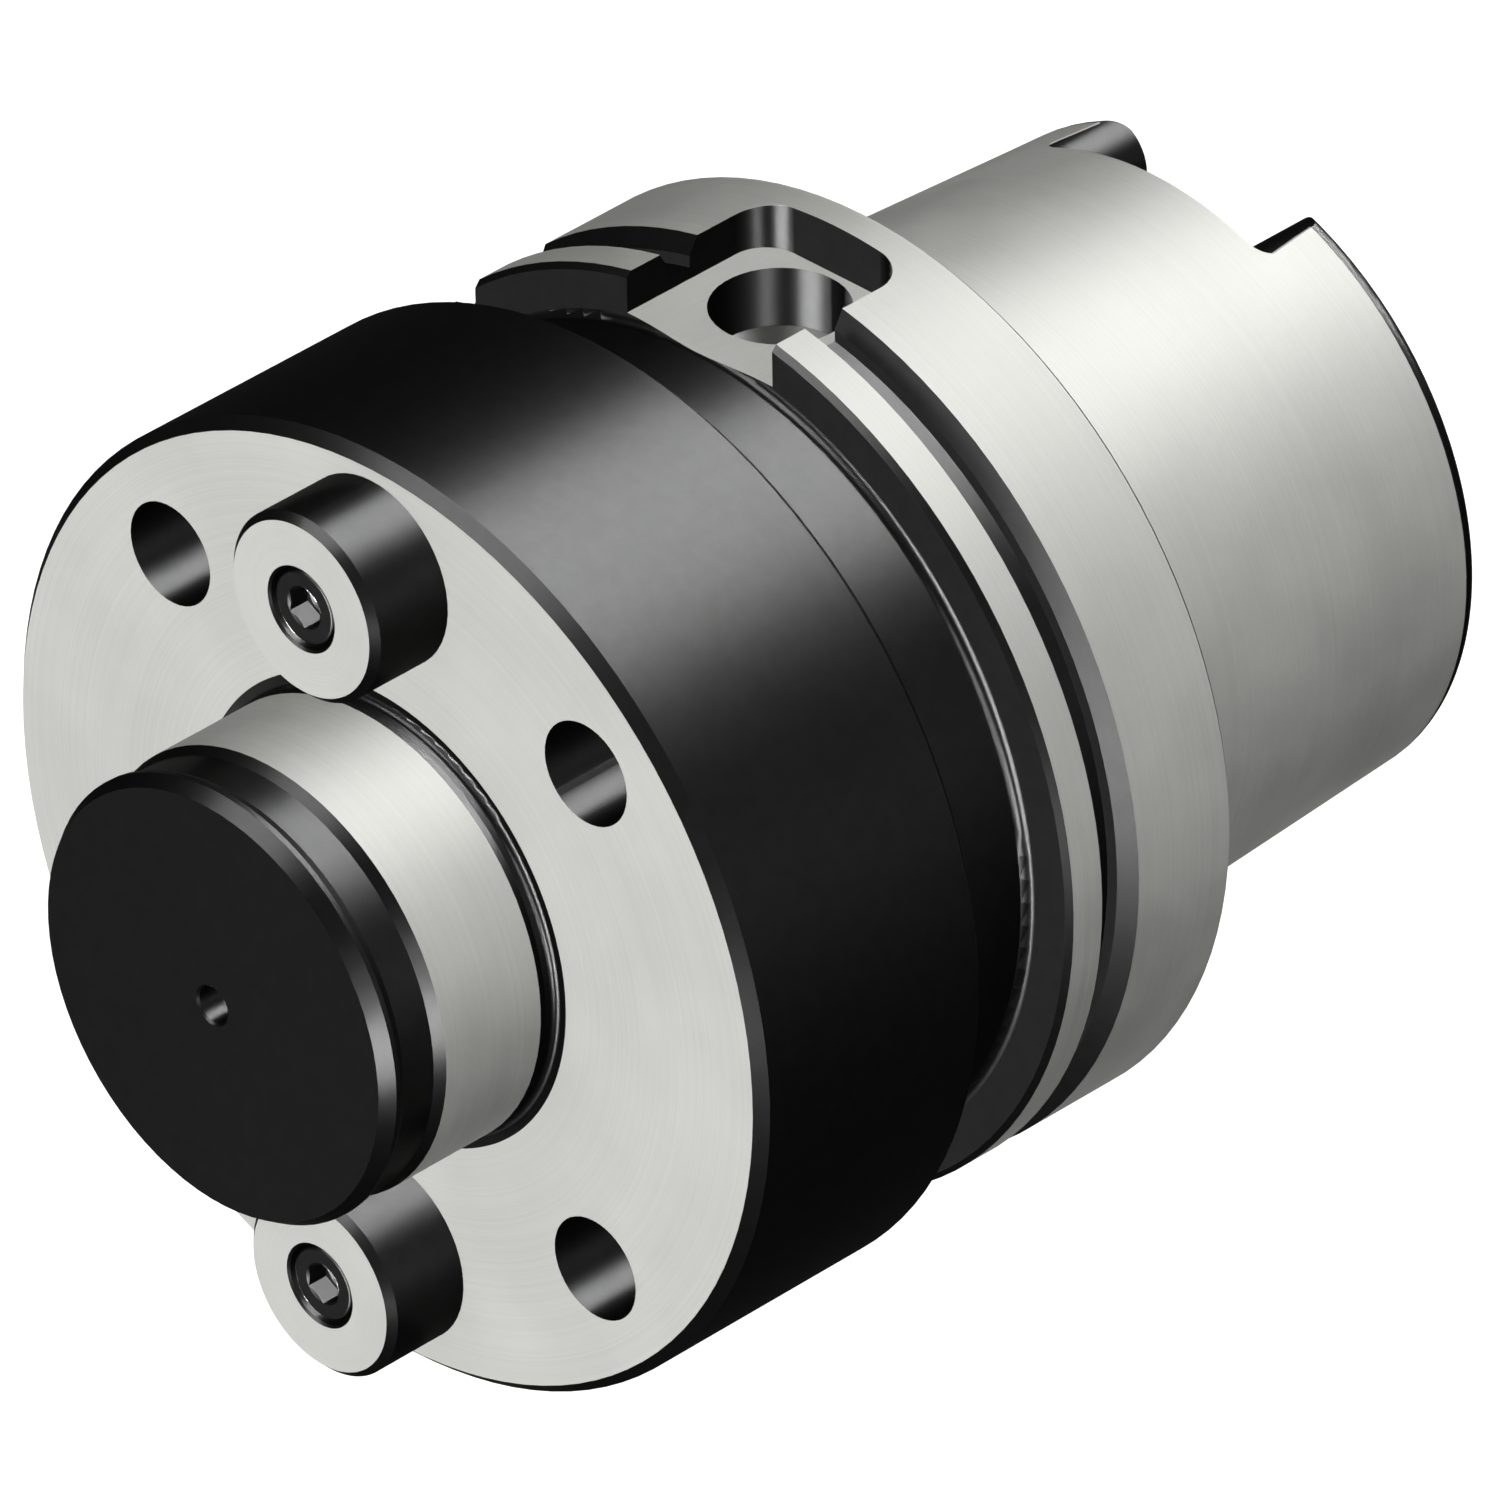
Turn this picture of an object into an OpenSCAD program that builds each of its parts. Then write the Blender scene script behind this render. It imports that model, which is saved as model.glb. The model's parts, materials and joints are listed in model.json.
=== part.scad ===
// Spindle adapter: hollow taper shank with flange contact, and a seat for large face mills.
// All lengths are in millimetres. The origin is the centre of the flange's contact face, +Z runs along the
// spindle axis from the shank to the pilot, and the two drive lugs lie on the X axis.

/* [Taper shank] */
// Taper diameter at the gauge plane
gauge_d = 95.016; // [94:0.002:96]
// Distance from the flange's contact face back to the gauge plane
gauge_l = 12.5; // [10:0.5:15]
// Length of taper on which its diameter shrinks by 1
taper_ratio = 9.98; // [9.5:0.01:12]
// Length of the shank behind the contact face
shank_l = 63; // [60:0.5:68]
// Rounding of the shank's outer end edge
shank_end_r = 2.5; // [1:0.1:3]
// Depth of the relief ring in the contact face round the taper
root_relief_t = 0.6; // [0.3:0.1:1.5]
// Width of the relief ring
root_relief_w = 2.4; // [1.5:0.1:4]

/* [Shank hollow] */
// Bore at the shank's mouth
mouth_d = 67; // [62:0.5:70]
// Radial size of the lead-in at the mouth
mouth_chamfer = 0.9; // [0.4:0.1:1.5]
// Distance from the contact face to the start of the clamping shoulder
shoulder_l = 36.27; // [34:0.01:40]
// Angle of the clamping shoulder to the axis
shoulder_angle = 30; // [25:1:40]
// Diameter of the undercut behind the clamping shoulder
undercut_d = 80; // [76:0.5:82]
// Distance from the contact face to the far end of the undercut
undercut_l = 20; // [16:0.5:22]
// Diameter of the hollow beyond the undercut
chamber_d = 73; // [70:0.5:75]
// Height of the hollow's floor above the contact face
chamber_top = 1.5; // [0.5:0.1:3]

/* [Shank keyways] */
// Width of the drive keyways in the shank's end
keyway_w = 25.02; // [22:0.02:27]
// Length of the drive keyways from the shank's end
keyway_l = 12.25; // [10:0.25:14]
// Radius of the keyways' rounded lips
keyway_lip_r = 6; // [4:0.5:7]
// Distance from the axis to the flat on which the lips end
keyway_flat = 41.2; // [40:0.1:42]
// Corner radius of the keyways' closed end
keyway_corner_r = 3; // [1:0.5:4]

/* [Flange] */
// Diameter of the flange
flange_d = 125; // [124:0.5:127]
// Width of the flange
flange_w = 29; // [28:0.5:32]
// Edge chamfer of the flange
flange_chamfer = 0.75; // [0.3:0.05:1]
// Distance from the contact face to the middle of the gripper groove
groove_z = 20; // [19:0.25:21]
// Diameter of the gripper groove's floor
groove_floor_d = 117; // [114:0.5:119]
// Width of the gripper groove's floor
groove_floor_w = 3.75; // [3:0.05:4.5]
// Angle between the gripper groove's walls
groove_angle = 60; // [50:1:70]
// Diameter over two gauge balls laid in the gripper groove
over_balls_d = 134.75; // [134.2:0.05:135.2]
// Diameter of those gauge balls
ball_d = 7; // [6.8:0.1:7.2]

/* [Flange slots] */
// Width of the shallow slot, on the +X side
slot_a_w = 25; // [22:0.5:27]
// Distance from the axis to the shallow slot's floor
slot_a_floor = 55.5; // [54:0.25:57]
// Width of the deep slot, on the -X side
slot_b_w = 28; // [25:0.5:30]
// Distance from the axis to the deep slot's floor
slot_b_floor = 39.5; // [39:0.25:44]
// Distance from the contact face to the closed end of the slots and of the notch
slot_z = 5; // [4:0.25:6]
// Corner radius of the slots
slot_corner_r = 5; // [3:0.5:6]
// Distance from the axis to the bottom of the notch in the flange's rim
notch_bottom = 55.5; // [54:0.25:57]
// Angle between the notch's walls
notch_angle = 90; // [80:1:100]
// Direction of the notch, from +X towards +Y
notch_at = 45; // [42:0.5:48]
// Diameter of the balancing hole in the shallow slot
balance_d = 18; // [12:0.5:19]
// Distance from the contact face to the balancing hole's axis
balance_z = 15; // [14:0.25:16]
// Depth of the balancing hole, without its drill point
balance_depth = 8.3; // [5:0.1:10]

/* [Neck and head] */
// Diameter of the neck
neck_d = 110.8; // [109:0.1:111.8]
// Fillet between the neck and its neighbours
neck_fillet_r = 1.2; // [0.8:0.1:3]
// Diameter of the head
head_d = 130; // [128:0.5:134]
// Length of the head
head_l = 39; // [38:0.5:44]
// Edge chamfer of the head
head_chamfer = 1.5; // [0.5:0.1:2]
// Distance from the contact face to the cutter's seat face
seat_z = 85; // [84:0.5:90]

/* [Cutter bolt holes] */
// Pitch circle of the four tapped holes
bolt_circle_d = 101.6; // [100:0.1:103]
// Core diameter of the tapped holes
bolt_core_d = 14; // [12:0.1:14.5]
// Depth of the tapped holes, without the drill point
bolt_depth = 30; // [24:0.5:31]

/* [Pilot] */
// Diameter of the pilot
pilot_d = 60; // [58:0.5:61]
// Height of the pilot above the seat face
pilot_l = 29; // [28:0.5:32]
// Height above the seat face at which the ground band starts
band_start = 2.6; // [2.4:0.1:3]
// Height above the seat face at which the ground band ends
band_end = 18.65; // [16:0.05:19]
// Radial depth of the waist in front of the ground band
waist_t = 0.8; // [0.4:0.1:1]
// Axial length of each of the waist's flanks
waist_flank_l = 1.38; // [1:0.02:1.6]
// Axial length of the waist's floor
waist_l = 4.98; // [4:0.02:5.4]
// Radial size of the nose chamfer
nose_chamfer = 1.2; // [0.6:0.1:1.5]
// Axial length of the nose chamfer
nose_chamfer_l = 1.9; // [1:0.1:2.2]
// Radial depth of the relief at the pilot's foot
foot_relief_t = 0.3; // [0.2:0.05:0.4]
// Depth of that relief below the seat face
foot_relief_drop = 0.2; // [0.1:0.05:0.3]
// Corner radius of that relief
foot_relief_r = 0.8; // [0.6:0.05:0.9]
// Radial width of that relief in the seat face
foot_relief_w = 1.63; // [1.4:0.01:2]

/* [Drive lugs] */
// Distance from the axis to each lug's axis
lug_radius = 49.25; // [48.5:0.05:49.5]
// Diameter of the lugs
lug_d = 25.4; // [24:0.1:25.6]
// Height of the lugs above the seat face
lug_h = 12.3; // [11:0.1:13]
// Edge chamfer of the lugs
lug_chamfer = 1; // [0.5:0.1:1.5]
// Depth of the lugs' seats below the seat face
lug_seat_l = 12; // [10:0.5:13]
// Radial clearance of the lugs in their seats
lug_seat_clear = 0.02; // [0.01:0.01:0.05]
// Radial depth of the relief round each lug at the seat face
lug_relief_t = 0.3; // [0.2:0.05:0.4]
// Length of that relief below the seat face
lug_relief_l = 1; // [0.6:0.1:2]

/* [Lug screws] */
// Thread diameter of the lug screws
screw_d = 6; // [5.6:0.1:6.2]
// Pitch diameter of their thread
screw_pitch_d = 5.35; // [5:0.05:5.5]
// Length of the lug screws under the head
screw_l = 30; // [26:1:32]
// Diameter of the screw head
screw_head_d = 10; // [9:0.1:10.4]
// Depth of the screw head below the lug's end face
screw_sink = 0.5; // [0.3:0.1:1.5]
// Width across the flats of the hexagon socket
hex_w = 5; // [4:0.1:5.2]
// Depth of the hexagon socket
hex_depth = 3; // [2:0.1:3.4]
// Diameter of the counterbore in the lug
counterbore_d = 11; // [10.8:0.1:12]
// Edge chamfer of the counterbore
counterbore_chamfer = 0.3; // [0.1:0.1:0.5]
// Diameter of the screw's clearance hole in the lug
screw_hole_d = 6.6; // [6.4:0.1:7]

/* [Coolant tube] */
// Outer diameter of the coolant tube
tube_d = 18; // [17:0.1:18.2]
// Bore of the coolant tube
tube_bore_d = 12; // [10:0.5:13]
// Overall length of the coolant tube
tube_l = 47.5; // [44:0.5:52]
// Diameter of the tube's collar
collar_d = 23; // [22.8:0.1:23.4]
// Thickness of the tube's collar
collar_t = 3; // [2.5:0.1:3.2]
// Height of the collar's middle above the contact face
collar_z = 9; // [8.8:0.1:9.6]
// Cord diameter of the two O-rings
ring_cord_d = 2.5; // [2.2:0.05:2.6]
// Gap left round the floating tube
float_gap = 0.3; // [0.28:0.01:0.36]
// Pitch diameter of the union nut's thread
nut_thread_d = 29; // [28.6:0.1:30]
// Height of the union nut behind the hollow's floor
nut_proud = 2.5; // [1.5:0.1:3.5]
// Width of the union nut's spanner slots
nut_slot_w = 4; // [3:0.5:5]
// Bore that leads the coolant through the neck and head
coolant_d = 12; // [8:0.5:14]
// Bore at the pilot's nose
outlet_d = 5; // [4:0.1:6]
// Length of the bore at the pilot's nose
outlet_l = 16; // [12:0.5:20]

/* [Hidden] */

$fn = 96;

// Overlap by which a cut runs past the face it opens
cut = 1;
// Half the point angle of a drill
drill_point = 59;
// Radial clearance between screw and tapped hole, both drawn at the pitch diameter
thread_clear = 0.03;

// Taper
taper_slope = 1 / (2 * taper_ratio);
function taper_r(z) = gauge_d / 2 + (z + gauge_l) * taper_slope;
slope_len = sqrt(1 + taper_slope * taper_slope);
end_round_z = shank_end_r - shank_l;
end_round_r = taper_r(end_round_z) - shank_end_r * slope_len;

// Shank hollow
mouth_r = mouth_d / 2;
shoulder_rise = (undercut_d - mouth_d) / 2;
shoulder_top = shoulder_rise / tan(shoulder_angle) - shoulder_l;
mouth_lead = mouth_chamfer / tan(15);

// Gripper groove, worked out from the gauge balls
groove_half = groove_angle / 2;
groove_vertex_r = over_balls_d / 2 - ball_d / 2 - ball_d / 2 / sin(groove_half);
groove_mouth_w = 2 * (flange_d / 2 - groove_vertex_r) * tan(groove_half);
groove_wall_r = flange_d / 2 - (groove_mouth_w - groove_floor_w) / 2 / tan(groove_half);

// Front end of the slots and the notch, in front of the flange
slot_front = flange_w + slot_corner_r + cut;

// Head and pilot
head_back = seat_z - head_l;
pilot_r = pilot_d / 2;
nose_z = seat_z + pilot_l;
waist_z = seat_z + band_end + waist_flank_l;
waist_end_z = waist_z + waist_l;
foot_r = pilot_r - foot_relief_t;
foot_centre_r = foot_r + foot_relief_r;
foot_centre_z = seat_z - foot_relief_drop + foot_relief_r;

// Drive lugs and their screws
lug_top = seat_z + lug_h;
screw_head_h = screw_d;
screw_seat_z = lug_top - screw_sink - screw_head_h;
screw_tip_z = screw_seat_z - screw_l;
lug_base = seat_z - lug_seat_l;
// Depth to which the hole is tapped past the screw's tip
tap_past_tip = 2.5;
// Length of the screw's thread
thread_l = 13;
// Chamfer at the lugs' lower edge
lug_base_chamfer = 0.5;
// Radial run-out of the screw's thread at its tip
tip_chamfer = 0.6;
// Radius of the edge of the screw head
head_edge_r = 0.4;
// Radial size of the chamfer at the socket's mouth
hex_lead = 0.35;
// Depth of the chamfer at the socket's mouth
hex_lead_l = 0.2;
// Depth of the drill point below the socket
hex_point_l = 1;

// Coolant tube
tube_r = tube_d / 2;
// Radial step where the tube enters the union nut
root_step = 0.2;
root_r = tube_r + root_step;
// Length of the thicker root that shows behind the union nut
root_show_l = 1.5;
// Length of the lead-in at the tube's free end
tube_lead_l = 3;
tube_lead_t = tube_lead_l * tan(15);
// Edge chamfer at the tube's front end
tube_chamfer = 0.5;
collar_low = collar_z - collar_t / 2;
collar_high = collar_z + collar_t / 2;

// O-rings
ring_r = ring_cord_d / 2;
// Gap between an O-ring and the piece it is pushed onto
ring_fit = 0.02;
ring_centre_r = root_r + ring_fit + ring_r;
ring_front_z = collar_high + float_gap + ring_r;
ring_rear_z = collar_low - ring_fit - ring_r;

// Seat of the collar and the O-rings, and the room that lets the tube tilt by one degree
tilt_room = float_gap + 0.1;
seat_r = ring_centre_r + ring_r + float_gap;
seat_top = ring_front_z + ring_r + float_gap;
nut_top = collar_high + tilt_room;
tube_hole_r = root_r + float_gap;
tube_front = seat_top + 1.4;
tube_back = tube_front - tube_l;
tube_seat_top = tube_front + 1.5;
coolant_top = nose_z - outlet_l;
outlet_chamfer = 0.3;

// Union nut
nut_r = nut_thread_d / 2;
nut_back = chamber_top - nut_proud;
nut_recess_z = ring_rear_z - ring_r - tilt_room;
nut_chamfer = 1;
nut_slot_depth = 2;

// A square corner piece that lies outside a quarter circle, used to fillet or round a corner.
// The corner is at the origin and the piece fills towards +X and +Y.
module corner(r) {
    difference() {
        square([r, r]);
        translate([r, r]) circle(r = r);
    }
}

// A drilled hole from the origin down -Z, with its drill point
module drilled(d, depth) {
    point_h = d / 2 / tan(drill_point);
    translate([0, 0, -depth]) cylinder(h = depth + cut, d = d);
    translate([0, 0, -depth - point_h]) cylinder(h = point_h, r1 = 0, r2 = d / 2);
}

// Half outline of the body before its recesses: radius along X, height along Y
module body_outline() {
    polygon([
        [0, -shank_l],
        [taper_r(-shank_l), -shank_l],
        [taper_r(0), 0],
        [flange_d / 2 - flange_chamfer, 0],
        [flange_d / 2, flange_chamfer],
        [flange_d / 2, flange_w - flange_chamfer],
        [flange_d / 2 - flange_chamfer, flange_w],
        [neck_d / 2, flange_w],
        [neck_d / 2, head_back],
        [head_d / 2 - head_chamfer, head_back],
        [head_d / 2, head_back + head_chamfer],
        [head_d / 2, seat_z - head_chamfer],
        [head_d / 2 - head_chamfer, seat_z],
        [pilot_r, seat_z],
        [pilot_r, seat_z + band_end],
        [pilot_r - waist_t, waist_z],
        [pilot_r - waist_t, waist_end_z],
        [pilot_r, waist_end_z + waist_flank_l],
        [pilot_r, nose_z - nose_chamfer_l],
        [pilot_r - nose_chamfer, nose_z],
        [0, nose_z],
    ]);
    translate([neck_d / 2, flange_w]) corner(neck_fillet_r);
    translate([neck_d / 2, head_back]) mirror([0, 1]) corner(neck_fillet_r);
}

// Rounded outer edge of the shank's end, as the piece that is taken away
module end_rounding() {
    difference() {
        polygon([
            [end_round_r, end_round_z],
            [end_round_r + shank_end_r / slope_len, end_round_z - shank_end_r * taper_slope / slope_len],
            [taper_r(-shank_l) + cut, -shank_l - taper_slope * cut],
            [taper_r(-shank_l) + cut, -shank_l - cut],
            [end_round_r, -shank_l - cut],
        ]);
        translate([end_round_r, end_round_z]) circle(r = shank_end_r);
    }
}

// Gripper groove with straight lower walls and flared upper walls
module groove_outline() {
    polygon([
        [groove_floor_d / 2, groove_z - groove_floor_w / 2],
        [groove_wall_r, groove_z - groove_floor_w / 2],
        [flange_d / 2, groove_z - groove_mouth_w / 2],
        [flange_d / 2 + cut, groove_z - groove_mouth_w / 2],
        [flange_d / 2 + cut, groove_z + groove_mouth_w / 2],
        [flange_d / 2, groove_z + groove_mouth_w / 2],
        [groove_wall_r, groove_z + groove_floor_w / 2],
        [groove_floor_d / 2, groove_z + groove_floor_w / 2],
    ]);
}

// Relief at the pilot's foot, which clears the ground corner
module foot_relief() {
    polygon([
        [pilot_r, seat_z + band_start],
        [foot_r, seat_z + band_start - foot_relief_t / tan(15)],
        [foot_r, foot_centre_z],
        [foot_centre_r, foot_centre_z],
        [foot_centre_r, seat_z - foot_relief_drop],
        [pilot_r + foot_relief_w, seat_z],
        [pilot_r + foot_relief_w, seat_z + foot_relief_drop],
        [foot_centre_r, seat_z + band_start],
    ]);
    translate([foot_centre_r, foot_centre_z]) circle(r = foot_relief_r);
}

// Everything hollow on the axis: shank, union nut seat, tube seat and coolant bore
module hollow_outline() {
    polygon([
        [0, -shank_l - cut],
        [mouth_r + mouth_chamfer, -shank_l - cut],
        [mouth_r + mouth_chamfer, -shank_l],
        [mouth_r, -shank_l + mouth_lead],
        [mouth_r, -shoulder_l],
        [undercut_d / 2, shoulder_top],
        [undercut_d / 2, -undercut_l],
        [chamber_d / 2, -undercut_l + (undercut_d - chamber_d) / 2],
        [chamber_d / 2, chamber_top],
        [nut_r + nut_chamfer, chamber_top],
        [nut_r + thread_clear, chamber_top + nut_chamfer],
        [nut_r + thread_clear, nut_top],
        [seat_r, nut_top],
        [seat_r, seat_top],
        [tube_hole_r, seat_top],
        [tube_hole_r, tube_seat_top],
        [coolant_d / 2, tube_seat_top],
        [coolant_d / 2, coolant_top],
        [outlet_d / 2, coolant_top + (coolant_d - outlet_d) / 2 / tan(drill_point)],
        [outlet_d / 2, nose_z - outlet_chamfer],
        [outlet_d / 2 + outlet_chamfer, nose_z],
        [outlet_d / 2 + outlet_chamfer, nose_z + cut],
        [0, nose_z + cut],
    ]);
}

// Flange slot, milled towards the axis by a cutter that leaves rounded corners at both ends
module flange_slot(w, floor_x) {
    translate([floor_x, 0, (slot_z + slot_front) / 2]) rotate([90, 0, 90]) linear_extrude(height = head_d / 2) {
        difference() {
            square([w, slot_front - slot_z], center = true);
            for (sx = [-1, 1], sz = [-1, 1]) {
                scale([sx, sz]) translate([-w / 2, (slot_z - slot_front) / 2]) corner(slot_corner_r);
            }
        }
    }
}

// V-shaped notch milled along the flange's rim
module rim_notch() {
    reach = flange_d / 2 + cut;
    half_w = (reach - notch_bottom) * tan(notch_angle / 2);
    rotate([0, 0, notch_at]) translate([0, 0, slot_z]) linear_extrude(height = slot_front - slot_z)
        polygon([
            [notch_bottom, 0],
            [reach, -half_w],
            [reach, half_w],
        ]);
}

// Drive keyway in the shank's end on the +X side, with rounded lips and a rounded closed end
module shank_keyway() {
    half = keyway_w / 2;
    deep_x = mouth_r / 2;
    out_x = taper_r(0);
    wide = half + keyway_lip_r + cut;
    closed_z = keyway_l - shank_l;
    intersection() {
        translate([0, 0, -shank_l - cut]) linear_extrude(height = keyway_l + 2 * cut) {
            translate([deep_x, -half]) square([out_x - deep_x, keyway_w]);
            translate([keyway_flat, -wide]) square([out_x - keyway_flat, 2 * wide]);
            translate([keyway_flat, half]) mirror([1, 0]) corner(keyway_lip_r);
            translate([keyway_flat, -half]) rotate(180) corner(keyway_lip_r);
        }
        rotate([90, 0, 90]) linear_extrude(height = out_x + cut) difference() {
            translate([-wide, -shank_l - cut]) square([2 * wide, keyway_l + cut]);
            translate([-wide, closed_z]) mirror([0, 1]) corner(keyway_corner_r);
            translate([wide, closed_z]) rotate(180) corner(keyway_corner_r);
        }
    }
}

// Seat and tapped hole of one drive lug, at the lug's axis
module lug_seat() {
    tap_d = screw_pitch_d + 2 * thread_clear;
    translate([0, 0, lug_base]) cylinder(h = lug_seat_l + cut, r = lug_d / 2 + lug_seat_clear);
    translate([0, 0, lug_base]) drilled(tap_d, lug_base - screw_tip_z + tap_past_tip);
}

module adapter_body() {
    color([0.74, 0.74, 0.72]) difference() {
        rotate_extrude() difference() {
            body_outline();
            end_rounding();
            groove_outline();
            foot_relief();
            hollow_outline();
            translate([taper_r(0) - cut, 0]) square([root_relief_w + cut, root_relief_t]);
        }
        flange_slot(slot_a_w, slot_a_floor);
        rotate([0, 0, 180]) flange_slot(slot_b_w, slot_b_floor);
        rim_notch();
        translate([slot_a_floor, 0, balance_z]) rotate([0, 90, 0]) drilled(balance_d, balance_depth);
        shank_keyway();
        rotate([0, 0, 180]) shank_keyway();
        for (a = [45 : 90 : 315]) {
            rotate([0, 0, a]) translate([bolt_circle_d / 2, 0, seat_z]) drilled(bolt_core_d, bolt_depth);
        }
        for (a = [0, 180]) {
            rotate([0, 0, a]) translate([lug_radius, 0, 0]) lug_seat();
        }
    }
}

// One drive lug on its own axis
module drive_lug() {
    rotate_extrude() polygon([
        [screw_hole_d / 2, lug_base],
        [lug_d / 2 - lug_base_chamfer, lug_base],
        [lug_d / 2, lug_base + lug_base_chamfer],
        [lug_d / 2, seat_z - lug_relief_l],
        [lug_d / 2 - lug_relief_t, seat_z - lug_relief_l],
        [lug_d / 2 - lug_relief_t, seat_z],
        [lug_d / 2, seat_z],
        [lug_d / 2, lug_top - lug_chamfer],
        [lug_d / 2 - lug_chamfer, lug_top],
        [counterbore_d / 2 + counterbore_chamfer, lug_top],
        [counterbore_d / 2, lug_top - counterbore_chamfer],
        [counterbore_d / 2, screw_seat_z],
        [screw_hole_d / 2, screw_seat_z],
    ]);
}

// One lug screw on its own axis, with a hexagon socket
module lug_screw() {
    head_top = lug_top - screw_sink;
    hex_r = hex_w / 2 / cos(30);
    point_z = head_top - hex_depth - hex_point_l;
    thread_end_z = screw_tip_z + thread_l;
    difference() {
        rotate_extrude() difference() {
            polygon([
                [0, screw_tip_z],
                [screw_pitch_d / 2 - tip_chamfer, screw_tip_z],
                [screw_pitch_d / 2, screw_tip_z + tip_chamfer],
                [screw_pitch_d / 2, thread_end_z],
                [screw_d / 2, thread_end_z + (screw_d - screw_pitch_d) / 2],
                [screw_d / 2, screw_seat_z],
                [screw_head_d / 2, screw_seat_z],
                [screw_head_d / 2, head_top],
                [0, head_top],
            ]);
            translate([screw_head_d / 2, head_top]) rotate(180) corner(head_edge_r);
        }
        translate([0, 0, head_top - hex_depth]) cylinder(h = hex_depth + cut, r = hex_r, $fn = 6);
        translate([0, 0, head_top - hex_lead_l])
            cylinder(h = 2 * hex_lead_l, r1 = hex_r - hex_lead, r2 = hex_r + hex_lead);
        translate([0, 0, point_z]) cylinder(h = hex_point_l * 1.2, r1 = 0, r2 = hex_w / 2);
    }
}

module drive_lug_upper() {
    color([0.72, 0.72, 0.70]) translate([lug_radius, 0, 0]) drive_lug();
}

module drive_lug_lower() {
    color([0.72, 0.72, 0.70]) translate([-lug_radius, 0, 0]) drive_lug();
}

module lug_screw_upper() {
    color([0.12, 0.12, 0.12]) translate([lug_radius, 0, 0]) lug_screw();
}

module lug_screw_lower() {
    color([0.12, 0.12, 0.12]) translate([-lug_radius, 0, 0]) lug_screw();
}

module coolant_tube() {
    color([0.62, 0.63, 0.64]) rotate_extrude() polygon([
        [tube_bore_d / 2, tube_back],
        [tube_r - tube_lead_t, tube_back],
        [tube_r, tube_back + tube_lead_l],
        [tube_r, nut_back - root_show_l],
        [root_r, nut_back - root_show_l + root_step],
        [root_r, collar_low],
        [collar_d / 2, collar_low],
        [collar_d / 2, collar_high],
        [tube_r, collar_high],
        [tube_r, tube_front - tube_chamfer],
        [tube_r - tube_chamfer, tube_front],
        [tube_bore_d / 2, tube_front],
    ]);
}

module tube_union_nut() {
    edge = nut_chamfer / 2;
    color([0.30, 0.30, 0.31]) difference() {
        rotate_extrude() polygon([
            [tube_hole_r + edge, nut_back],
            [nut_r - nut_chamfer, nut_back],
            [nut_r, nut_back + nut_chamfer],
            [nut_r, nut_top - edge],
            [nut_r - edge, nut_top],
            [seat_r, nut_top],
            [seat_r, nut_recess_z],
            [tube_hole_r, nut_recess_z],
            [tube_hole_r, nut_back + edge],
        ]);
        for (a = [0, 90]) {
            rotate([0, 0, a]) translate([-nut_r - cut, -nut_slot_w / 2, nut_back - cut])
                cube([2 * (nut_r + cut), nut_slot_w, nut_slot_depth + cut]);
        }
    }
}

module o_ring(z) {
    color([0.07, 0.07, 0.07]) translate([0, 0, z]) rotate_extrude() translate([ring_centre_r, 0]) circle(r = ring_r);
}

module o_ring_front() {
    o_ring(ring_front_z);
}

module o_ring_rear() {
    o_ring(ring_rear_z);
}

adapter_body();
drive_lug_upper();
drive_lug_lower();
lug_screw_upper();
lug_screw_lower();
coolant_tube();
tube_union_nut();
o_ring_front();
o_ring_rear();
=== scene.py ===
import json
import math

import bpy
from mathutils import Matrix, Vector


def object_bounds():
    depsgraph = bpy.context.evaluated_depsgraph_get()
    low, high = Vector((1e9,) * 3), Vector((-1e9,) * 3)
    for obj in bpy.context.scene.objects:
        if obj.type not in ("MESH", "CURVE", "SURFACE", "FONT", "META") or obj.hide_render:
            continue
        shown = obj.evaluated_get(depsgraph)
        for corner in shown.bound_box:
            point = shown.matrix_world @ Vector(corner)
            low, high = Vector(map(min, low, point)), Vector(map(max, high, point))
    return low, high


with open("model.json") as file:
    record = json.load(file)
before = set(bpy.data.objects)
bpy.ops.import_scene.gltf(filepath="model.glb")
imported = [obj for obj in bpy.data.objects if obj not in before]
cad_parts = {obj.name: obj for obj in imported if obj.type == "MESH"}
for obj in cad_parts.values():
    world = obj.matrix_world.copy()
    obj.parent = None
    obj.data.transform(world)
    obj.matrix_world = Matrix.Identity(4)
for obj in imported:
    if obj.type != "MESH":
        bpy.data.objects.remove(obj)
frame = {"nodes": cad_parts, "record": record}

cad_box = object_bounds()
mounts = {m["name"]: m for m in frame["record"]["mounts"]}
MM = 0.001

# Places on the adapter, in metres. Heights are measured along the spindle axis from the contact face.
SEAT_Z = mounts["cutter_face"]["pos_m"][2]
PILOT_R = mounts["pilot"]["dims"]["r_mm"] * MM
LUG_R = mounts["drive_lug_a"]["dims"]["r_mm"] * MM
LUG_X = mounts["drive_lug_a"]["pos_m"][0]
GROOVE_Z = mounts["gripper_groove"]["pos_m"][2]
TAPER_R = 48.134 * MM
TAPER_SLOPE = 1 / 19.96
TAPER_END_Z = -60.4 * MM
TAPER_SKIN = 0.12 * MM
SHOULDER_Z = (-36.4 * MM, -25 * MM)
SHOULDER_R = (33.4 * MM, 40.1 * MM)
RELIEF_R = 50.6 * MM
FLANGE_R = 62.5 * MM
FLANGE_W = 29 * MM
FLANGE_CHAMFER = 0.75 * MM
GROOVE_MOUTH = 3.25 * MM
SLOT_A_FLOOR = 55.5 * MM
SLOT_B_FLOOR = -39.5 * MM
SLOT_B_SIDE = -20 * MM
SLOT_HALF = 14.1 * MM
SLOT_START_Z = 4.9 * MM
SLOT_FLOOR_END_Z = FLANGE_W + 6 * MM
SLOT_END_Z = FLANGE_W + 7 * MM
BALANCE_Z = 15 * MM
BALANCE_R = 8.95 * MM
BALANCE_END_X = (40 * MM, 47.3 * MM)
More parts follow.
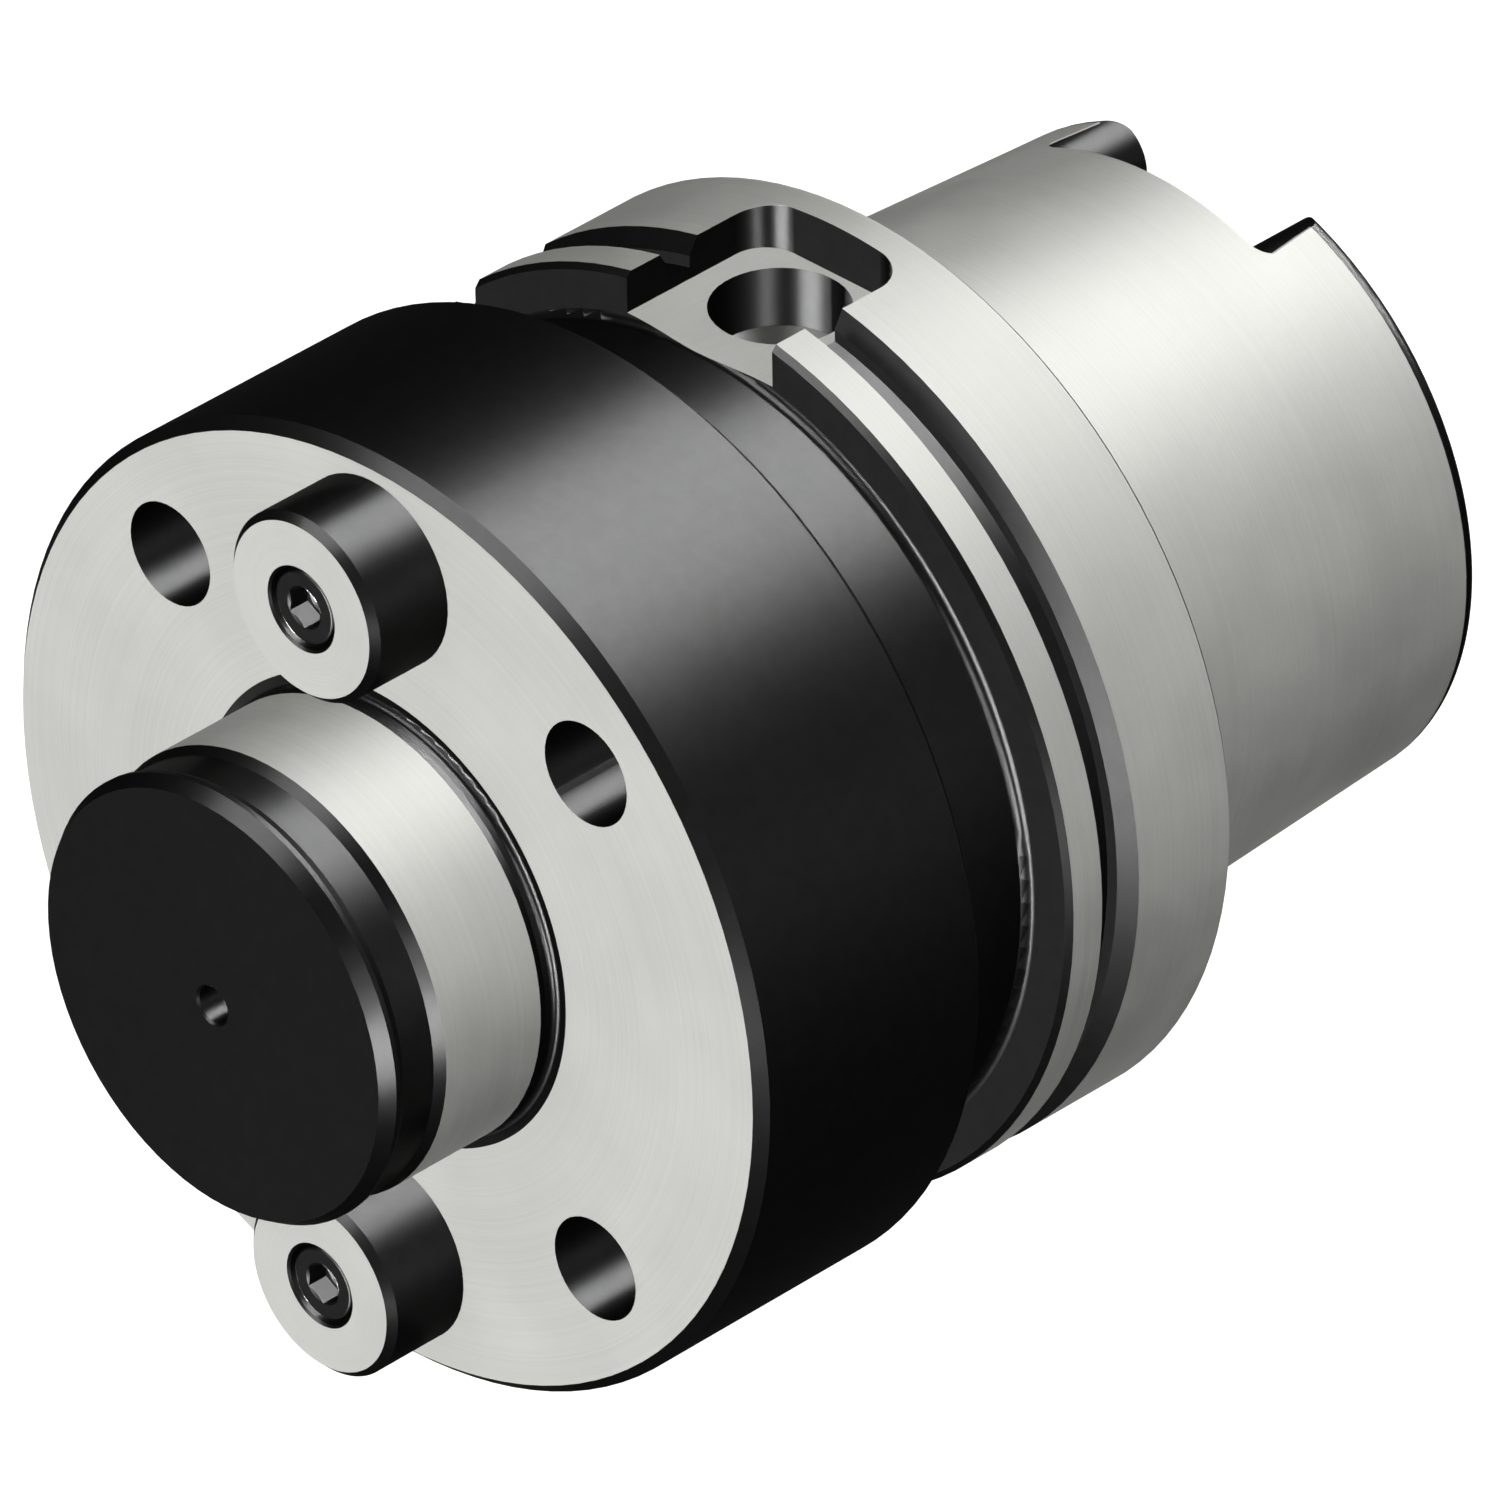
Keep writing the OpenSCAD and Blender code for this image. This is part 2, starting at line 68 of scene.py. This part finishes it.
RIM_R = 58 * MM
FOOT_R = 31.7 * MM
BAND_START_Z = SEAT_Z + 2.6 * MM
BAND_END_Z = SEAT_Z + 18.65 * MM
NOSE_Z = SEAT_Z + 29 * MM
LUG_TOP_Z = SEAT_Z + 12.3 * MM
LUG_CHAMFER = 1 * MM
COUNTERBORE_R = 5.8 * MM
CLOSE = 0.03 * MM

# Largest sideways part of a turned surface's normal that counts as an error of its mesh.
SEAM_REACH = 0.08


class Finish:
    """One material. Its calls add nodes and return their outputs, so that a mask reads like a sum."""

    def __init__(self, name):
        self.material = bpy.data.materials.new(name)
        self.material.use_nodes = True
        self.tree = self.material.node_tree
        self.tree.nodes.clear()
        coordinates = self.node("ShaderNodeTexCoord")
        self.place = coordinates.outputs["Object"]
        self.facing = coordinates.outputs["Normal"]
        self.x, self.y, self.z = self.parts(self.place)

    def node(self, kind, inputs=None, **settings):
        made = self.tree.nodes.new(kind)
        for key, value in settings.items():
            setattr(made, key, value)
        for key, value in (inputs or {}).items():
            self.put(made.inputs[key], value)
        return made

    def put(self, socket, value):
        if isinstance(value, bpy.types.NodeSocket):
            self.tree.links.new(value, socket)
        else:
            socket.default_value = value

    def parts(self, vector):
        split = self.node("ShaderNodeSeparateXYZ", {"Vector": vector})
        return split.outputs["X"], split.outputs["Y"], split.outputs["Z"]

    def vector(self, x, y, z):
        return self.node("ShaderNodeCombineXYZ", {"X": x, "Y": y, "Z": z}).outputs["Vector"]

    def calc(self, operation, *values):
        return self.node("ShaderNodeMath", dict(enumerate(values)), operation=operation).outputs[0]

    def above(self, value, limit):
        return self.calc("GREATER_THAN", value, limit)

    def below(self, value, limit):
        return self.calc("LESS_THAN", value, limit)

    def between(self, value, low, high):
        return self.all_of(self.above(value, low), self.below(value, high))

    def near(self, value, target, reach=CLOSE):
        return self.calc("COMPARE", value, target, reach)

    def times(self, first, *others):
        for other in others:
            first = self.calc("MULTIPLY", first, other)
        return first

    def all_of(self, *masks):
        """1 where every mask is 1, and less where one of them is less."""
        return self.times(*masks)

    def any_of(self, first, *others):
        """The largest of the masks."""
        for other in others:
            first = self.calc("MAXIMUM", first, other)
        return first

    def none_of(self, mask):
        return self.calc("SUBTRACT", 1.0, mask)

    def radius(self, x, y):
        return self.calc("SQRT", self.calc("ADD", self.times(x, x), self.times(y, y)))

    def noise(self, vector, scale, detail=3.0, roughness=0.55):
        """Noise from 0 to 1, at 0.5 on average."""
        inputs = {"Vector": vector, "Scale": scale, "Detail": detail, "Roughness": roughness}
        return self.node("ShaderNodeTexNoise", inputs, noise_dimensions="3D").outputs["Fac"]

    def ramp(self, value, low, high, to_low, to_high):
        """value from low to high, spread over to_low to to_high and held there."""
        inputs = {"Value": value, "From Min": low, "From Max": high, "To Min": to_low, "To Max": to_high}
        return self.node("ShaderNodeMapRange", inputs, interpolation_type="SMOOTHSTEP").outputs["Result"]

    def mix(self, share, first, second):
        """A number that goes from first to second with share."""
        inputs = {"Factor": share, 2: first, 3: second}
        return self.node("ShaderNodeMix", inputs, data_type="FLOAT").outputs[0]

    def mix_colour(self, share, first, second):
        inputs = {"Factor": share, 6: first, 7: second}
        return self.node("ShaderNodeMix", inputs, data_type="RGBA").outputs[2]

    def mix_vector(self, share, first, second):
        inputs = {"Factor": share, 4: first, 5: second}
        return self.node("ShaderNodeMix", inputs, data_type="VECTOR").outputs[1]

    def shade(self, colour, value):
        """colour made lighter or darker by value, where 1 leaves it as it is."""
        channels = {"Red": value, "Green": value, "Blue": value}
        grey = self.node("ShaderNodeCombineColor", channels).outputs["Color"]
        inputs = {"Factor": 1.0, 6: colour, 7: grey}
        return self.node("ShaderNodeMix", inputs, data_type="RGBA", blend_type="MULTIPLY").outputs[2]

    def edge(self, reach):
        """1 on an outer or inner edge and 0 on a flat, faded over reach."""
        rounded = self.node("ShaderNodeBevel", {"Radius": reach}, samples=6).outputs["Normal"]
        flat = self.node("ShaderNodeNewGeometry").outputs["Normal"]
        inputs = {0: rounded, 1: flat}
        match = self.node("ShaderNodeVectorMath", inputs, operation="DOT_PRODUCT").outputs["Value"]
        return self.ramp(match, 0.98, 0.88, 0.0, 1.0)

    def bump(self, height, depth, strength, under=None):
        inputs = {"Height": height, "Distance": depth, "Strength": strength}
        if under is not None:
            inputs["Normal"] = under
        return self.node("ShaderNodeBump", inputs).outputs["Normal"]

    def turned_normal(self, r, flat):
        """The surface's normal, made true to the Z axis wherever it points almost straight away from it.
        That takes out the seam of a turned surface. It is left alone where flat is 1."""
        normal = self.node("ShaderNodeNewGeometry").outputs["Normal"]
        normal_x, normal_y, normal_z = self.parts(normal)
        out_x = self.calc("DIVIDE", self.x, r)
        out_y = self.calc("DIVIDE", self.y, r)
        side = self.calc("SUBTRACT", self.times(normal_y, out_x), self.times(normal_x, out_y))
        out = self.calc("ADD", self.times(normal_x, out_x), self.times(normal_y, out_y))
        level = self.calc("SQRT", self.calc("SUBTRACT", 1.0, self.times(normal_z, normal_z)))
        level = self.times(level, self.calc("SIGN", out))
        true = self.vector(self.times(out_x, level), self.times(out_y, level), normal_z)
        small = self.below(self.calc("ABSOLUTE", side), SEAM_REACH)
        turned = self.all_of(small, self.none_of(flat))
        return self.mix_vector(turned, normal, true)

    def surface(self, **inputs):
        """Ends the material with one shader. Names are the shader's own, with _ for a space."""
        named = {key.replace("_", " "): value for key, value in inputs.items()}
        shader = self.node("ShaderNodeBsdfPrincipled", named)
        self.node("ShaderNodeOutputMaterial", {"Surface": shader.outputs[0]})
        return self.material


GROUND_STEEL = (0.63, 0.63, 0.605, 1)
BLACK_OXIDE = (0.085, 0.085, 0.085, 1)
NOSE_BLACK = (0.058, 0.058, 0.058, 1)
WORN_STEEL = (0.26, 0.26, 0.25, 1)
TUBE_STEEL = (0.56, 0.56, 0.55, 1)
NUT_BLACK = (0.09, 0.09, 0.092, 1)
SEAL_BLACK = (0.022, 0.022, 0.023, 1)

# How much of a finish shows: wear on the edges of each piece, and a share of bright steel in the balancing
# hole's end, which is partly bare drilled steel and partly painted light that makes the hole's floor look
# lit.
RIM_WEAR = 0.3
LUG_WEAR = 0.15
SCREW_WEAR = 0.05
HOLE_END_BARE_AND_PAINTED_LIGHT = 0.25
EDGE_REACH = 0.3 * MM
NUT_EDGE_REACH = 0.25 * MM

# Distance between the rings that a tool leaves on each piece, and the height of its marks.
BODY_LAY = 0.16 * MM
LUG_LAY = 0.12 * MM
SCREW_LAY = 0.09 * MM
TUBE_LAY = 0.1 * MM
NUT_LAY = 0.12 * MM
MARK_HEIGHT = 0.004 * MM
DUST_HEIGHT = 0.01 * MM

# Scales of the noise patterns, per metre.
CLOUDS = 55.0
MOTTLE = 420.0
RUBBING = 140.0
ALONG_LAY = 18.0
ACROSS_MILLING = 9000.0
ALONG_MILLING = 160.0
TUBE_CLOUDS = 120.0
NUT_MOTTLE = 300.0
DUST = 900.0


def turned_lay(f, r, pitch):
    """Fine rings left by turning or grinding: a noise that is long round the axis and short across it."""
    return f.vector(f.times(r, 1 / pitch), f.times(f.z, 1 / pitch), f.times(f.x, ALONG_LAY))


def two_tone_steel(f, ground, lay_vector, wear, nose=0.0, under=None):
    """Steel that is bright where ground is 1 and blackened elsewhere, most of all where nose is 1. wear is
    the share of rubbed steel on its edges, and under is the normal that the marks are laid on."""
    lay = f.noise(lay_vector, 1.0, detail=4.0, roughness=0.65)
    cloud = f.noise(f.place, CLOUDS)
    mottle = f.noise(f.place, MOTTLE, detail=4.0, roughness=0.6)
    patches = f.ramp(f.noise(f.place, RUBBING), 0.42, 0.68, 0.0, 1.0)
    rubbed = f.all_of(f.edge(EDGE_REACH), patches, wear)

    bright = f.shade(GROUND_STEEL, f.ramp(lay, 0.2, 0.8, 0.93, 1.05))
    bright = f.shade(bright, f.ramp(cloud, 0.25, 0.75, 0.96, 1.03))
    black = f.mix_colour(nose, BLACK_OXIDE, NOSE_BLACK)
    dark = f.shade(black, f.ramp(mottle, 0.25, 0.75, 0.95, 1.05))
    dark = f.mix_colour(rubbed, dark, WORN_STEEL)
    bright_rough = f.calc("ADD", f.ramp(lay, 0.2, 0.8, 0.59, 0.635), f.ramp(cloud, 0.3, 0.7, -0.015, 0.02))
    # Below a roughness of about 0.275 pale flecks showed on the black faces.
    dark_rough = f.calc("ADD", f.ramp(mottle, 0.2, 0.8, 0.276, 0.283), f.ramp(cloud, 0.3, 0.7, 0.0, 0.006))
    relief = f.calc("ADD", f.times(lay, f.mix(ground, 0.06, 0.8)), f.times(mottle, 0.3))
    return f.surface(
        Base_Color=f.mix_colour(ground, dark, bright),
        Metallic=1.0,
        Roughness=f.mix(ground, dark_rough, bright_rough),
        Normal=f.bump(relief, MARK_HEIGHT, 0.6, under),
    )


def body_finish():
    """Ground taper, contact face, flange bands, slot floors, seat face, pilot band and the shoulder inside
    the shank. The rest is black, the nose's end most of all."""
    f = Finish("adapter_steel")
    r = f.radius(f.x, f.y)
    taper_r = f.calc("ADD", TAPER_R - TAPER_SKIN, f.times(f.z, TAPER_SLOPE))
    taper = f.all_of(f.between(f.z, TAPER_END_Z, -CLOSE), f.above(r, taper_r))
    contact_face = f.all_of(f.near(f.z, 0.0), f.above(r, RELIEF_R))
    skin = f.above(r, FLANGE_R - CLOSE)
    rear_band = f.all_of(skin, f.between(f.z, FLANGE_CHAMFER, GROOVE_Z - GROOVE_MOUTH))
    front_band = f.all_of(skin, f.between(f.z, GROOVE_Z + GROOVE_MOUTH, FLANGE_W - FLANGE_CHAMFER))
    seat_face = f.all_of(f.near(f.z, SEAT_Z), f.above(r, FOOT_R))
    pilot_skin = f.between(r, PILOT_R - CLOSE, PILOT_R + MM)
    pilot_band = f.all_of(pilot_skin, f.between(f.z, BAND_START_Z, BAND_END_Z))
    slot_width = f.below(f.calc("ABSOLUTE", f.y), SLOT_HALF)
    slot_length = f.between(f.z, SLOT_START_Z, SLOT_END_Z)
    slot_depth = f.any_of(f.below(f.x, SLOT_B_SIDE), f.above(f.x, SLOT_A_FLOOR - CLOSE))
    in_slots = f.all_of(slot_width, slot_length, slot_depth)
    faces_sideways = f.above(f.calc("ABSOLUTE", f.parts(f.facing)[0]), 0.99)
    floors = f.any_of(f.near(f.x, SLOT_A_FLOOR), f.near(f.x, SLOT_B_FLOOR))
    floor_length = f.between(f.z, SLOT_START_Z, SLOT_FLOOR_END_Z)
    slot_floor = f.all_of(slot_width, floor_length, faces_sideways, floors)
    shoulder = f.all_of(f.between(f.z, *SHOULDER_Z), f.between(r, *SHOULDER_R))
    # The balancing hole's end is mixed a quarter of the way to ground steel: partly bare drilled steel,
    # partly painted light that lightens the hole's floor.
    from_hole = f.radius(f.y, f.calc("SUBTRACT", f.z, BALANCE_Z))
    hole_end_bare_and_painted_light = f.all_of(f.below(from_hole, BALANCE_R), f.between(f.x, *BALANCE_END_X), HOLE_END_BARE_AND_PAINTED_LIGHT)
    bands = f.any_of(rear_band, front_band, pilot_band)
    ground = f.any_of(taper, contact_face, seat_face, bands, slot_floor, shoulder, hole_end_bare_and_painted_light)
    along_x = f.times(f.x, ALONG_MILLING)
    along_z = f.times(f.z, ALONG_MILLING)
    milled = f.vector(f.times(f.y, ACROSS_MILLING), along_z, along_x)
    lay_vector = f.mix_vector(slot_floor, turned_lay(f, r, BODY_LAY), milled)
    nose = f.above(f.z, NOSE_Z - CLOSE)
    wear = f.all_of(f.above(r, RIM_R), f.none_of(in_slots), RIM_WEAR)
    return two_tone_steel(f, ground, lay_vector, wear, nose, f.turned_normal(r, in_slots))


def lug_finish(side):
    """Ground end face on a blackened lug; side is the lug's place on the X axis."""
    f = Finish("lug_steel")
    r = f.radius(f.calc("SUBTRACT", f.x, side), f.y)
    end_face = f.all_of(f.near(f.z, LUG_TOP_Z), f.between(r, COUNTERBORE_R, LUG_R - LUG_CHAMFER))
    return two_tone_steel(f, end_face, turned_lay(f, r, LUG_LAY), LUG_WEAR)


def screw_finish(side):
    """Blackened screw with a slight turned pattern."""
    f = Finish("screw_black")
    r = f.radius(f.calc("SUBTRACT", f.x, side), f.y)
    return two_tone_steel(f, 0.0, turned_lay(f, r, SCREW_LAY), SCREW_WEAR)


def tube_finish():
    """Bright turned steel with slight clouding."""
    f = Finish("tube_steel")
    r = f.radius(f.x, f.y)
    lay = f.noise(turned_lay(f, r, TUBE_LAY), 1.0, detail=4.0)
    cloud = f.noise(f.place, TUBE_CLOUDS)
    colour = f.shade(TUBE_STEEL, f.ramp(lay, 0.2, 0.8, 0.88, 1.06))
    roughness = f.ramp(cloud, 0.25, 0.75, 0.28, 0.36)
    normal = f.bump(lay, MARK_HEIGHT, 0.5)
    return f.surface(Base_Color=colour, Metallic=1.0, Roughness=roughness, Normal=normal)


def nut_finish():
    """Blackened steel, rubbed where a spanner and the tube touch it."""
    f = Finish("nut_steel")
    r = f.radius(f.x, f.y)
    lay = f.noise(turned_lay(f, r, NUT_LAY), 1.0, detail=4.0)
    mottle = f.noise(f.place, NUT_MOTTLE)
    rubbed = f.all_of(f.edge(NUT_EDGE_REACH), f.ramp(mottle, 0.35, 0.65, 0.1, 0.8))
    colour = f.mix_colour(rubbed, f.shade(NUT_BLACK, f.ramp(mottle, 0.2, 0.8, 0.8, 1.2)), WORN_STEEL)
    roughness = f.ramp(mottle, 0.25, 0.75, 0.34, 0.46)
    normal = f.bump(lay, MARK_HEIGHT, 0.5)
    return f.surface(Base_Color=colour, Metallic=1.0, Roughness=roughness, Normal=normal)


def rubber_finish():
    """Matt black rubber with a little dust."""
    f = Finish("seal_rubber")
    dust = f.noise(f.place, DUST, detail=4.0)
    colour = f.shade(SEAL_BLACK, f.ramp(dust, 0.3, 0.7, 0.8, 1.5))
    roughness = f.ramp(dust, 0.3, 0.7, 0.55, 0.7)
    return f.surface(Base_Color=colour, Roughness=roughness, Normal=f.bump(dust, DUST_HEIGHT, 0.4))


def dress(node, material):
    """Gives a node's object the material in every slot."""
    mesh = frame["nodes"][node].data
    if not mesh.materials:
        mesh.materials.append(material)
    for index in range(len(mesh.materials)):
        mesh.materials[index] = material


dress("adapter_body", body_finish())
dress("drive_lug_upper", lug_finish(LUG_X))
dress("drive_lug_lower", lug_finish(-LUG_X))
dress("lug_screw_upper", screw_finish(LUG_X))
dress("lug_screw_lower", screw_finish(-LUG_X))
dress("coolant_tube", tube_finish())
dress("tube_union_nut", nut_finish())
seal = rubber_finish()
dress("o_ring_front", seal)
dress("o_ring_rear", seal)


# Camera: looks down on the seat face from the front right, turned so that the shank points up and right.
CAMERA_AZIMUTH = math.radians(-47.749)
CAMERA_ELEVATION = math.radians(36.3886)
CAMERA_ROLL = math.radians(119.136)
CAMERA_DISTANCE = 2675.05 * MM
CAMERA_AIM = Vector((-3.462, -3.145, 24.432)) * MM
CAMERA_ANGLE = math.radians(3.97473)

# Floor and lamps, in metres and strengths.
WHITE = (1, 1, 1, 1)
FLOOR_GREY = (0.3, 0.3, 0.3, 1)
FLOOR_REACH = 6.0
FLOOR_DROP = 0.05 * MM
FLOOR_SHOWN = 0.93
FLOOR_MIRRORED = 0.01
WORLD_GLOW = 0.03
LAMP_AIM = Vector((0, 0, 20)) * MM
SUN_DISTANCE = 1.0


def towards(azimuth, elevation):
    """Unit vector that points that way from the origin; angles in radians."""
    flat = math.cos(elevation)
    return Vector((flat * math.cos(azimuth), flat * math.sin(azimuth), math.sin(elevation)))


def place_camera():
    data = bpy.data.cameras.new("camera")
    camera = bpy.data.objects.new("camera", data)
    bpy.context.scene.collection.objects.link(camera)
    back = towards(CAMERA_AZIMUTH, CAMERA_ELEVATION)
    level = back.to_track_quat("Z", "Y").to_matrix().to_4x4()
    place = Matrix.Translation(CAMERA_AIM + back * CAMERA_DISTANCE)
    camera.matrix_world = place @ level @ Matrix.Rotation(-CAMERA_ROLL, 4, "Z")
    data.sensor_fit = "HORIZONTAL"
    data.angle = CAMERA_ANGLE
    data.clip_start = 0.1
    data.clip_end = 20.0
    bpy.context.scene.camera = camera


def hang_lamp(data, azimuth, elevation, distance):
    """Puts a lamp out that way from the adapter, turned to face it; angles in degrees."""
    lamp = bpy.data.objects.new(data.name, data)
    bpy.context.scene.collection.objects.link(lamp)
    way = towards(math.radians(azimuth), math.radians(elevation))
    lamp.location = LAMP_AIM + way * distance
    lamp.rotation_euler = way.to_track_quat("Z", "Y").to_euler()
    lamp.visible_camera = False


def add_panel(name, azimuth, elevation, distance, side, power):
    """A soft square lamp that throws a shadow; lengths in metres."""
    data = bpy.data.lights.new(name, "AREA")
    data.shape = "SQUARE"
    data.size = side
    data.energy = power
    hang_lamp(data, azimuth, elevation, distance)


def add_sun(name, azimuth, elevation, spread, power):
    """A soft far lamp that throws no shadow; spread is how wide it looks, in degrees."""
    data = bpy.data.lights.new(name, "SUN")
    data.angle = math.radians(spread)
    data.energy = power
    data.use_shadow = False
    data.cycles.max_bounces = 0
    data.cycles.use_multiple_importance_sampling = False
    hang_lamp(data, azimuth, elevation, SUN_DISTANCE)


def lay_floor():
    """Pale floor under the shank's end. The camera sees it white, with the object's shadow kept faintly,
    and steel shows it dimmer. From below it is clear, so that the underside can be looked at."""
    z = cad_box[0][2] - FLOOR_DROP
    mesh = bpy.data.meshes.new("floor")
    corners = [(x * FLOOR_REACH, y * FLOOR_REACH, z) for x, y in ((-1, -1), (1, -1), (1, 1), (-1, 1))]
    mesh.from_pydata(corners, [], [(0, 1, 2, 3)])
    floor = bpy.data.objects.new("floor", mesh)
    bpy.context.scene.collection.objects.link(floor)
    f = Finish("pale_floor")
    ray = f.node("ShaderNodeLightPath").outputs
    matt = f.node("ShaderNodeBsdfDiffuse", {"Color": FLOOR_GREY}).outputs[0]
    shown = f.node("ShaderNodeEmission", {"Color": WHITE, "Strength": FLOOR_SHOWN}).outputs[0]
    white = f.node("ShaderNodeAddShader", {0: matt, 1: shown}).outputs[0]
    mirrored = f.node("ShaderNodeEmission", {"Color": WHITE, "Strength": FLOOR_MIRRORED}).outputs[0]
    lit = f.node("ShaderNodeMixShader", {0: ray["Is Glossy Ray"], 1: matt, 2: mirrored}).outputs[0]
    above = f.node("ShaderNodeMixShader", {0: ray["Is Camera Ray"], 1: lit, 2: white}).outputs[0]
    from_below = f.node("ShaderNodeNewGeometry").outputs["Backfacing"]
    clear = f.node("ShaderNodeBsdfTransparent").outputs[0]
    floor_shader = f.node("ShaderNodeMixShader", {0: from_below, 1: above, 2: clear}).outputs[0]
    f.node("ShaderNodeOutputMaterial", {"Surface": floor_shader})
    mesh.materials.append(f.material)


def light_world():
    """The camera sees the world white, and the adapter sees it dim."""
    world = bpy.data.worlds.new("studio")
    world.use_nodes = True
    tree = world.node_tree
    tree.nodes.clear()
    ray = tree.nodes.new("ShaderNodeLightPath")
    dim = tree.nodes.new("ShaderNodeBackground")
    dim.inputs["Color"].default_value = WHITE
    dim.inputs["Strength"].default_value = WORLD_GLOW
    white = tree.nodes.new("ShaderNodeBackground")
    white.inputs["Color"].default_value = WHITE
    white.inputs["Strength"].default_value = 1.0
    mix = tree.nodes.new("ShaderNodeMixShader")
    output = tree.nodes.new("ShaderNodeOutputWorld")
    tree.links.new(ray.outputs["Is Camera Ray"], mix.inputs[0])
    tree.links.new(dim.outputs[0], mix.inputs[1])
    tree.links.new(white.outputs[0], mix.inputs[2])
    tree.links.new(mix.outputs[0], output.inputs["Surface"])
    bpy.context.scene.world = world


place_camera()
lay_floor()
light_world()
# Name, azimuth, elevation, then distance, side and power of the panel, or spread and power of a sun.
add_panel("soft_lamp", 18, 79, 1.2, 0.8, 1.13)
add_sun("low_lamp", -1, -54, 49, 2.4)
add_sun("left_lamp", -105.7, 24, 29.3, 1.06)
add_sun("right_lamp", 18.5, 32.8, 45.3, 1.0)
add_sun("back_lamp", 165.2, 70.1, 40.5, 2.26)
add_sun("side_lamp", -80, 1.2, 50, 1.06)
add_sun("far_lamp", 132.3, -14, 8, 0.9)

bpy.context.scene.view_settings.view_transform = "Standard"
